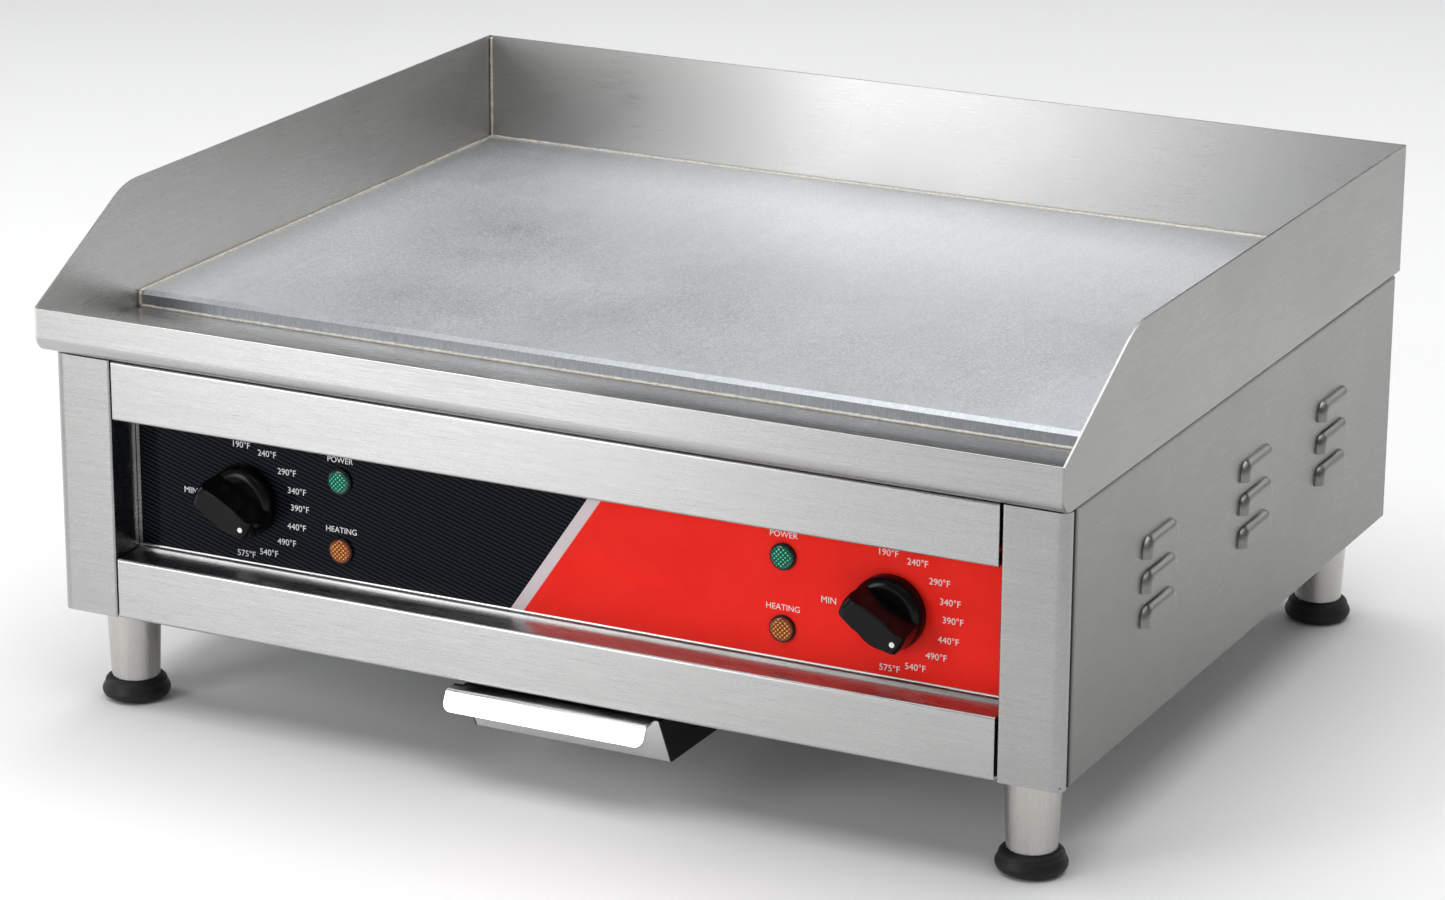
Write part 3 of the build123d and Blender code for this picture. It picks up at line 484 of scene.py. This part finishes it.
def lens(name, node, deep, bright):
    """A domed lamp lens with a diamond waffle over its face."""
    low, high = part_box(node)
    centre = (low + high) / 2
    radius = (high.x - low.x) / 2 - 0.02 * MM
    rings, around = 26, 72
    tip = low.y + 0.1 * MM

    def height(x, z):
        u = (centre.x + x + centre.z + z) / LENS_PITCH
        v = (centre.x + x - centre.z - z) / LENS_PITCH
        waffle = abs(math.sin(math.pi * u)) * abs(math.sin(math.pi * v))
        distance = math.hypot(x, z) / radius
        fade = 1 - min(1, max(0, (distance - 0.72) / 0.16))
        dome = 1.5 * MM * (1 - math.sqrt(max(0, 1 - distance ** 2 * 0.92)))
        return dome + 0.55 * MM * (1 - waffle) * fade

    def build(bm):
        rows = []
        for ring in range(1, rings + 1):
            reach = radius * ring / rings
            row = []
            for spoke in range(around):
                turn = 2 * math.pi * spoke / around
                x = reach * math.cos(turn)
                z = reach * math.sin(turn)
                row.append(bm.verts.new((centre.x + x, tip + height(x, z), centre.z + z)))
            rows.append(row)
        back = []
        for spoke in range(around):
            turn = 2 * math.pi * spoke / around
            place = (centre.x + radius * math.cos(turn), high.y, centre.z + radius * math.sin(turn))
            back.append(bm.verts.new(place))
        rows.append(back)
        middle = bm.verts.new((centre.x, tip + height(0, 0), centre.z))
        for spoke in range(around):
            after = (spoke + 1) % around
            bm.faces.new((middle, rows[0][spoke], rows[0][after]))
            for inner, outer in zip(rows, rows[1:]):
                bm.faces.new((inner[spoke], outer[spoke], outer[after], inner[after]))
        bm.faces.new(back)

    surface = lens_glass(name + "_glass", deep, bright, low, high)
    piece = mesh_piece(name, build, "cabinet", surface, smooth=False)
    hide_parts(node)


def lamp_lenses():
    for side in SIDES:
        lens(side + "_power_waffle_lens", side + "_power_lens", (0.0, 0.030, 0.020), (0.04, 0.85, 0.50))
        lens(side + "_heating_waffle_lens", side + "_heating_lens", (0.15, 0.022, 0.001), (1.0, 0.46, 0.07))


def letters(text, size, x, z):
    """The mesh of one word, centred at (x, z), standing just off the film."""
    curve = bpy.data.curves.new("word", "FONT")
    curve.body = text
    curve.size = size
    curve.align_x = "CENTER"
    curve.align_y = "CENTER"
    curve.extrude = 0.01 * MM
    curve.resolution_u = 4
    word = bpy.data.objects.new("word", curve)
    bpy.context.scene.collection.objects.link(word)
    bpy.context.view_layer.update()
    mesh = bpy.data.meshes.new_from_object(word.evaluated_get(bpy.context.evaluated_depsgraph_get()))
    upright = Matrix.Rotation(math.pi / 2, 4, "X")
    mesh.transform(Matrix.Translation((x, FILM_Y - 0.03 * MM, z)) @ upright)
    bpy.data.objects.remove(word)
    bpy.data.curves.remove(curve)
    return mesh


def lettering(name, words, surface):
    """Generic dial numbers and lamp words as one printed piece. words holds (text, size, x, z)."""
    def build(bm):
        for text, size, x, z in words:
            mesh = letters(text, size, x, z)
            bm.from_mesh(mesh)
            bpy.data.meshes.remove(mesh)

    mesh_piece(name, build, "cabinet", surface, smooth=False)


DIAL_MARKS = (("MIN", 180), ("190°F", 93), ("240°F", 65), ("290°F", 39), ("340°F", 18),
              ("390°F", 0), ("440°F", -20.5), ("490°F", -41.5), ("540°F", -65.5),
              ("575°F", -90))


def panel_print():
    surface = ink()
    for side, centre in DIALS.items():
        words = []
        for text, angle in DIAL_MARKS:
            turn = math.radians(angle)
            x = centre.x + 35.2 * MM * math.cos(turn)
            z = centre.z + 31.5 * MM * math.sin(turn)
            words.append((text, 5.1 * MM, x, z))
        lamp_low, lamp_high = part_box(side + "_power_lamp")
        lamp_x = (lamp_low.x + lamp_high.x) / 2
        words.append(("POWER", 4.7 * MM, lamp_x, lamp_high.z + 4.4 * MM))
        words.append(("HEATING", 4.7 * MM, lamp_x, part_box(side + "_heating_lamp")[1].z + 4.0 * MM))
        lettering(side + "_zone_print", words, surface)


def knob_dots():
    """The white pointer dot on each knob's face, near the end of the pointer."""
    surface = ink()
    for side, centre in DIALS.items():
        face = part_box(side + "_knob")[0].y
        turn = math.radians(-30)
        place = centre + 15.2 * MM * Vector((math.cos(turn), 0, math.sin(turn)))

        def build(bm, place=place, face=face):
            spot = bmesh.ops.create_cone(bm, cap_ends=True, segments=32, radius1=1.55 * MM,
                                         radius2=1.45 * MM, depth=0.2 * MM)
            turned = Matrix.Translation((place.x, face + 0.09 * MM, place.z)) @ Matrix.Rotation(math.pi / 2, 4, "X")
            bmesh.ops.transform(bm, matrix=turned, verts=spot["verts"])

        mesh_piece(side + "_knob_dot", build, side + "_dial", surface, smooth=False)


# ---------------------------------------------------------------- stage, light and camera

def stage():
    surface = Surface("pale_floor")
    cloud = surface.noise(0.8, 3)
    surface.colour(surface.blend(surface.spread(cloud, 0, 1), (0.86, 0.86, 0.86), (0.90, 0.90, 0.90)))
    surface.rough(surface.spread(cloud, 0.55, 0.65))
    bpy.ops.mesh.primitive_plane_add(size=40, location=(0, 0, -0.0005))
    floor = bpy.context.object
    floor.name = "floor"
    paint(surface, floor)


def soft_light(name, place, target, size, power, colour=(1, 1, 1)):
    data = bpy.data.lights.new(name, "AREA")
    data.shape = "RECTANGLE"
    data.size, data.size_y = size
    data.energy = power
    data.color = colour
    lamp = bpy.data.objects.new(name, data)
    lamp.location = place
    aim = Vector(target) - Vector(place)
    lamp.rotation_euler = aim.to_track_quat("-Z", "Y").to_euler()
    bpy.context.scene.collection.objects.link(lamp)


def light():
    world = bpy.data.worlds.new("studio")
    bpy.context.scene.world = world
    world.use_nodes = True
    nodes = world.node_tree.nodes
    links = world.node_tree.links
    coords = nodes.new("ShaderNodeTexCoord")
    split = nodes.new("ShaderNodeSeparateXYZ")
    ramp = nodes.new("ShaderNodeValToRGB")
    ramp.color_ramp.elements[0].position = 0.0
    ramp.color_ramp.elements[0].color = (0.9, 0.9, 0.9, 1)
    ramp.color_ramp.elements[1].position = 0.8
    ramp.color_ramp.elements[1].color = (0.5, 0.51, 0.53, 1)
    low = ramp.color_ramp.elements.new(0.25)
    low.color = (0.30, 0.30, 0.29, 1)
    links.new(coords.outputs["Generated"], split.inputs["Vector"])
    links.new(split.outputs["Z"], ramp.inputs["Fac"])
    links.new(ramp.outputs["Color"], nodes["Background"].inputs["Color"])
    nodes["Background"].inputs["Strength"].default_value = 0.6
    middle = (0, 0, 0.15)
    soft_light("key_softbox", (-0.92, -1.75, 0.62), (-0.05, -0.26, 0.2), (0.62, 1.1), 11)
    soft_light("left_strip", (-1.9, -0.3, 1.0), middle, (0.7, 1.6), 8)
    soft_light("top_softbox", (-0.25, 0.9, 2.0), middle, (1.3, 1.5), 10)
    soft_light("back_card", (1.15, 2.0, 1.05), middle, (1.5, 1.0), 5)
    soft_light("floor_wash", (0.2, -0.4, 3.6), (0.2, -0.2, 0), (4.0, 4.0), 115)


def camera():
    """The long-lens view from the front right, a little above."""
    yaw, pitch, roll = (math.radians(angle) for angle in (-26.6, -17.9, 0.3))
    forward = Vector((math.sin(yaw) * math.cos(pitch), math.cos(yaw) * math.cos(pitch), math.sin(pitch)))
    right = Vector((math.cos(yaw), -math.sin(yaw), 0))
    up = right.cross(forward)
    tilted_right = right * math.cos(roll) + up * math.sin(roll)
    tilted_up = up * math.cos(roll) - right * math.sin(roll)
    data = bpy.data.cameras.new("camera")
    data.sensor_width = 36
    data.lens = 117.25
    data.clip_end = 50
    eye = bpy.data.objects.new("camera", data)
    turn = Matrix((tilted_right, tilted_up, -forward)).transposed().to_4x4()
    eye.matrix_world = Matrix.Translation((1.1395, -2.3048, 0.9541)) @ turn
    bpy.context.scene.collection.objects.link(eye)
    bpy.context.scene.camera = eye


camera()
light()
stage()
finish_nodes()
weld_beads()
lamp_lenses()
panel_print()
knob_dots()
bpy.context.scene.view_settings.view_transform = "Standard"
